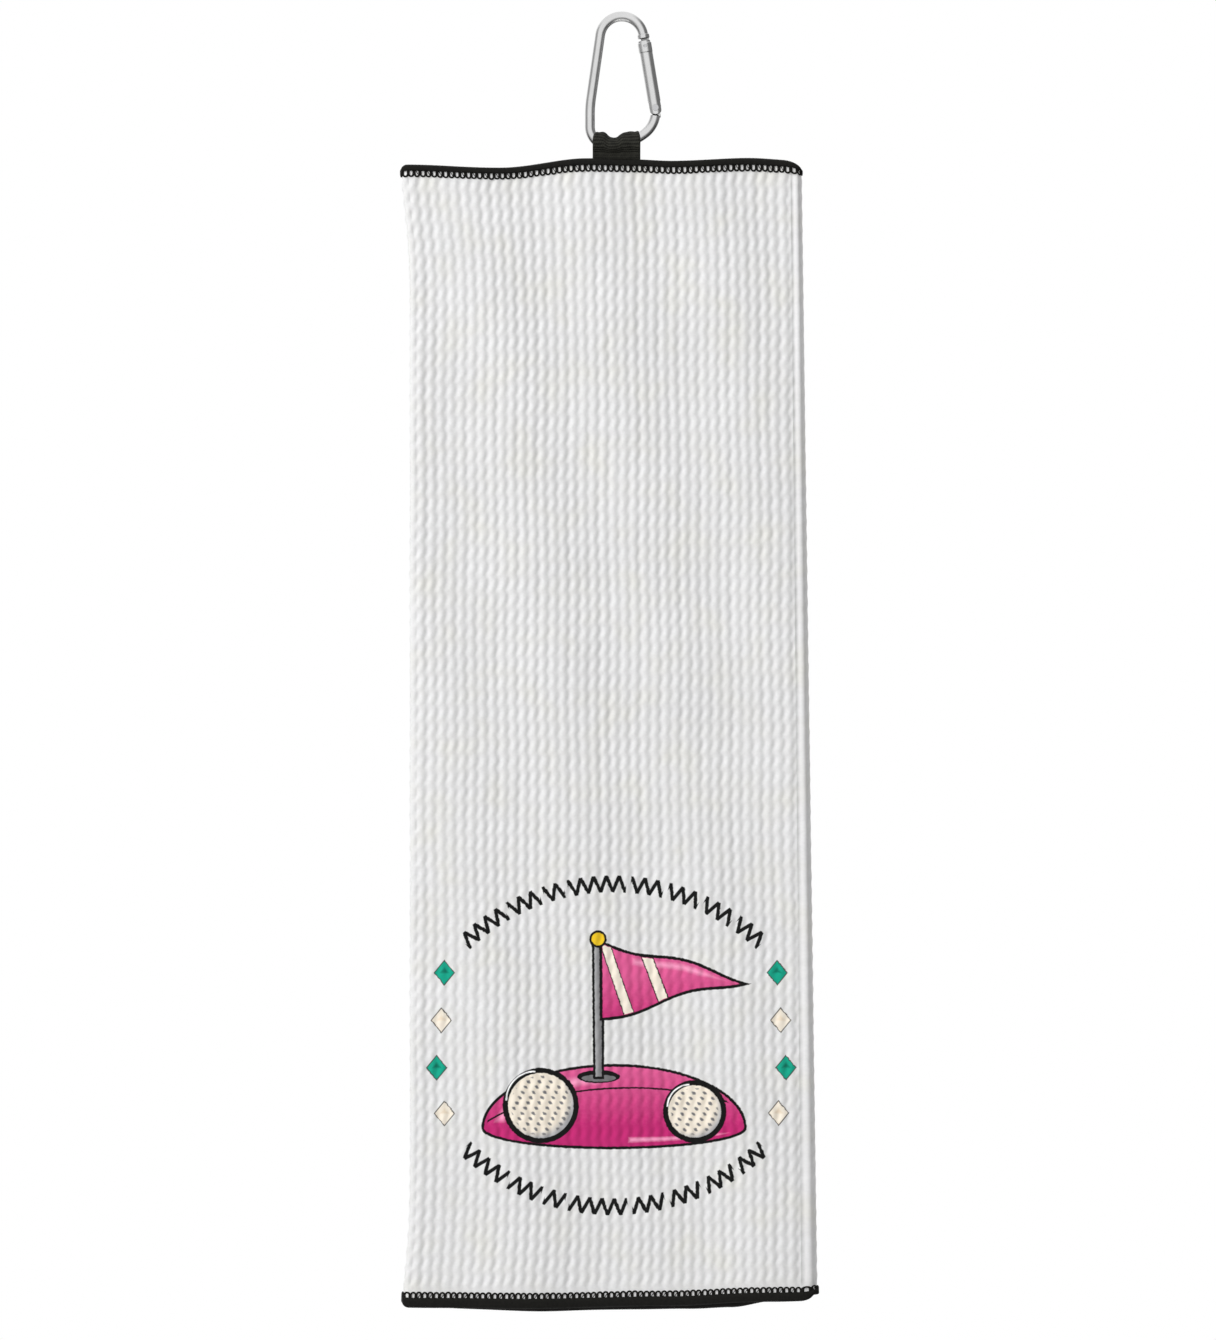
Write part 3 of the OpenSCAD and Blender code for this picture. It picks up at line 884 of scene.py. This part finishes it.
def rod_places():
    """Start, heading, size, turn and rod radius of each round run, in the plane of the carabiner."""
    crown_z = body_box[1].z - ROD_R - CROWN_R
    x = CROWN_R * math.cos(LEAN) + NOSE_LENGTH * math.sin(LEAN)
    z = crown_z + CROWN_R * math.sin(LEAN) - NOSE_LENGTH * math.cos(LEAN)
    heading = math.pi / 2 + LEAN
    places = [(x, z, heading, NOSE_LENGTH, 0, NOSE_R)]
    foot = x + GATE_REACH * math.sin(LEAN), z - GATE_REACH * math.cos(LEAN)
    places.append((*foot, heading, HEAD_LOW - 0.4 * MM, 0, GATE_R))
    head = foot[0] - HEAD_LOW * math.sin(LEAN), foot[1] + HEAD_LOW * math.cos(LEAN)
    places.append((*head, heading, HEAD_HIGH - HEAD_LOW, 0, HEAD_R))
    x, z = x - NOSE_LENGTH * math.sin(LEAN), z + NOSE_LENGTH * math.cos(LEAN)
    for size, turn in ROD_RUNS:
        places.append((x, z, heading, size, turn, ROD_R))
        if turn:
            x += size * (math.sin(heading + turn) - math.sin(heading))
            z += size * (math.cos(heading) - math.cos(heading + turn))
            heading += turn
        else:
            x, z = x + size * math.cos(heading), z + size * math.sin(heading)
    return places


def made_round(points, places):
    """Moves points that are nearly on one of the round runs onto it."""
    x, y, z = points.T
    result = points.copy()
    for start_x, start_z, heading, size, turn, radius in places:
        if turn:
            out_x = x - start_x + size * math.sin(heading)
            out_z = z - start_z - size * math.cos(heading)
            far = np.hypot(out_x, out_z)
            out_x, out_z, off = out_x / far, out_z / far, far - size
            angle = np.arctan2(out_z, out_x) - (heading - math.pi / 2)
            within = angle % TURN < turn
        else:
            out_x, out_z = -math.sin(heading), math.cos(heading)
            off = (x - start_x) * out_x + (z - start_z) * out_z
            along = (x - start_x) * math.cos(heading) + (z - start_z) * math.sin(heading)
            within = (along > 0) & (along < size)
        now = np.hypot(off, y)
        near = within & (np.abs(now - radius) < NEARLY_ROUND)
        more = off * (radius / now - 1)
        result[near, 0] = (x + more * out_x)[near]
        result[near, 1] = (y * radius / now)[near]
        result[near, 2] = (z + more * out_z)[near]
    return result


def metal_copy(node, body, material, slot):
    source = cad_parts[node]
    piece = bpy.data.objects.new(f"polished_{node}", source.data.copy())
    piece.matrix_world = source.matrix_world
    bpy.context.scene.collection.objects.link(piece)
    piece.data.materials.clear()
    piece.data.materials.append(material)
    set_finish(piece, slot)
    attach(piece, body)
    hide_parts(node)
    return piece


def smooth_metal(node, body, fineness, places):
    """A copy of a CAD node with even small faces, truly round rods and slightly rounded edges."""
    piece = metal_copy(node, body, ALUMINIUM, "aluminium")
    remesh = piece.modifiers.new("even", "REMESH")
    remesh.mode = "VOXEL"
    remesh.voxel_size = fineness
    remesh.use_smooth_shade = True
    rounding = piece.modifiers.new("round", "SMOOTH")
    rounding.factor = 0.5
    rounding.iterations = 6
    shaped = piece.evaluated_get(bpy.context.evaluated_depsgraph_get())
    mesh = bpy.data.meshes.new_from_object(shaped)
    piece.modifiers.clear()
    piece.data = mesh
    points = np.empty(len(mesh.vertices) * 3, np.float32)
    mesh.vertices.foreach_get("co", points)
    points = made_round(points.reshape(-1, 3).astype(float), places)
    mesh.vertices.foreach_set("co", points.astype(np.float32).ravel())
    mesh.update()


nose_run, gate_run, head_run, *rod_runs = rod_places()
smooth_metal("carabiner_body", "carabiner", 0.16 * MM, [nose_run, *rod_runs])
smooth_metal("gate_tube", "gate", 0.14 * MM, [gate_run, head_run])
# the gate's spring in steel, with a mesh of its own, and the place of its seat in the gate, which nothing
# uses
gate_spring = metal_copy("gate_spring", "gate", STEEL, "steel")
gate_axis = -math.sin(LEAN), 0, math.cos(LEAN)
spring_seat = [gate_run[0] + SPRING_TOP * gate_axis[0], 0, gate_run[1] + SPRING_TOP * gate_axis[2]]
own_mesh(gate_spring)
for node in ("pivot_rivet", "latch_pin", "gate_plunger"):
    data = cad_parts[node].data
    data.materials.clear()
    data.materials.append(STEEL)

# ---------- studio ----------

VIEW_H = 536 * MM  # height of what the camera sees at the towel
CAMERA_FAR = 3.0
SENSOR = 36.0
FLOOR_DROP, FLOOR_R = 1.6, 1.0
VIEW_X = (TOWEL_LEFT + TOWEL_RIGHT) / 2 - 0.1 * MM
VIEW_Z = (TOP + LOW) / 2 + 25.8 * MM


def studio_camera():
    data = bpy.data.cameras.new("camera")
    data.sensor_width = SENSOR
    data.lens = SENSOR * CAMERA_FAR / VIEW_H
    data.clip_end = 100
    camera = bpy.data.objects.new("camera", data)
    camera.location = (VIEW_X, -CAMERA_FAR, VIEW_Z)
    camera.rotation_euler = (math.pi / 2, 0, 0)
    bpy.context.scene.collection.objects.link(camera)
    bpy.context.scene.camera = camera


def studio_floor():
    """A pale round floor, below what the level camera sees."""
    sides = 96
    turn = TURN * np.arange(sides + 1) / sides
    mesh = Quads()
    rings = np.array([[0.001], [0.5], [1.0]]) * FLOOR_R
    level = np.full((3, sides + 1), VIEW_Z - FLOOR_DROP)
    mesh.grid(np.stack([rings * np.cos(turn), rings * np.sin(turn), level], -1))
    look = Look("floor_paint", roughness=0.8)
    vector = look.object_place()
    look.colour(look.mix(look.noise(vector, 12, 2.0), srgb(236, 236, 235), srgb(242, 242, 241)))
    floor = mesh.make("floor", look.material, "aluminium")
    del floor["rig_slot"]


def area_light(name, at, size, power, aim):
    data = bpy.data.lights.new(name, "AREA")
    data.size = size
    data.energy = power
    light = bpy.data.objects.new(name, data)
    light.location = at
    light.visible_glossy = False
    light.rotation_euler = (Vector(aim) - Vector(at)).to_track_quat("-Z", "Y").to_euler()
    bpy.context.scene.collection.objects.link(light)


def studio_world():
    """White, but for dim strips at the two sides and below, which give metal its darker bands."""
    world = bpy.data.worlds.new("studio")
    world.use_nodes = True
    tree = world.node_tree
    place_node = tree.nodes.new("ShaderNodeTexCoord")
    split = tree.nodes.new("ShaderNodeSeparateXYZ")
    tree.links.new(place_node.outputs["Generated"], split.inputs[0])
    x, _, z = (Wire(tree, o) for o in split.outputs)
    right = ((x - 0.4) * 3.0).op("ADD", 0.0, clamp=True)
    left = ((x * -1 - 0.7) * 4).op("ADD", 0.0, clamp=True)
    under = ((z * -1 - 0.2) * 2.2).op("ADD", 0.0, clamp=True)
    level = (right * -0.8 + left * -0.6 + under * -0.75 + 1.0).high(0.14)
    tree.links.new(level.socket, tree.nodes["Background"].inputs["Strength"])
    tree.nodes["Background"].inputs["Color"].default_value = (1, 1, 1, 1)
    bpy.context.scene.world = world


studio_camera()
studio_floor()
studio_world()
towel_middle = (VIEW_X, 0, VIEW_Z)
area_light("key", (-1.55, -1.2, 0.8), size=0.6, power=29, aim=towel_middle)
area_light("back", (1.5, 1.5, 0.9), size=0.6, power=28, aim=towel_middle)
bpy.context.scene.view_settings.view_transform = "Standard"
